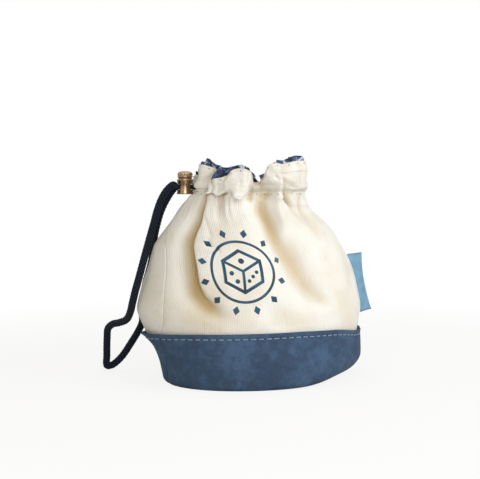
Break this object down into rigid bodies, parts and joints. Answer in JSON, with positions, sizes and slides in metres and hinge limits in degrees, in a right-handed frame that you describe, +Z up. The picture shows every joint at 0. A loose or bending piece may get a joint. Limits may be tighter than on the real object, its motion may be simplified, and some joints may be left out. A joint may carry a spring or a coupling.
{
  "type": "drawstring pouch",
  "caption": "Small gathered canvas drawstring pouch with suede band and base, loose lining, cord and sprung cord lock.",
  "frame": {"origin": "middle of the base's underside, on the surface the pouch stands on", "axes": "+Z up; +X towards the side seam with the label, -X towards the seam with the cord lock; -Y is the printed front"},
  "size_m": [0.1568, 0.1113, 0.1412],
  "materials": {
    "canvas": "natural cotton canvas",
    "lining": "printed cotton",
    "suede": "slate blue suede",
    "label": "woven ribbon",
    "cord": "braided cord",
    "lock_metal": "polished bronze",
    "spring_steel": "spring steel"
  },
  "bodies": {
    "pouch": {"canvas_front": "canvas", "canvas_back": "canvas", "lining_front": "lining", "lining_back": "lining", "lining_base": "lining", "band_front": "suede", "band_back": "suede", "suede_base": "suede", "woven_label": "label", "drawcord_channel": "cord", "drawcord_loop": "cord", "lock_barrel": "lock_metal", "lock_spring": "spring_steel"},
    "plunger": {"lock_plunger": "lock_metal"}
  },
  "joints": [
    {"name": "lock_press", "type": "slide", "parent": "pouch", "child": "plunger", "axis": [0, 0, 1], "range_m": [-0.0009, 0], "stiffness_N_per_m": 1500, "deforming": ["lock_spring"]}
  ]
}
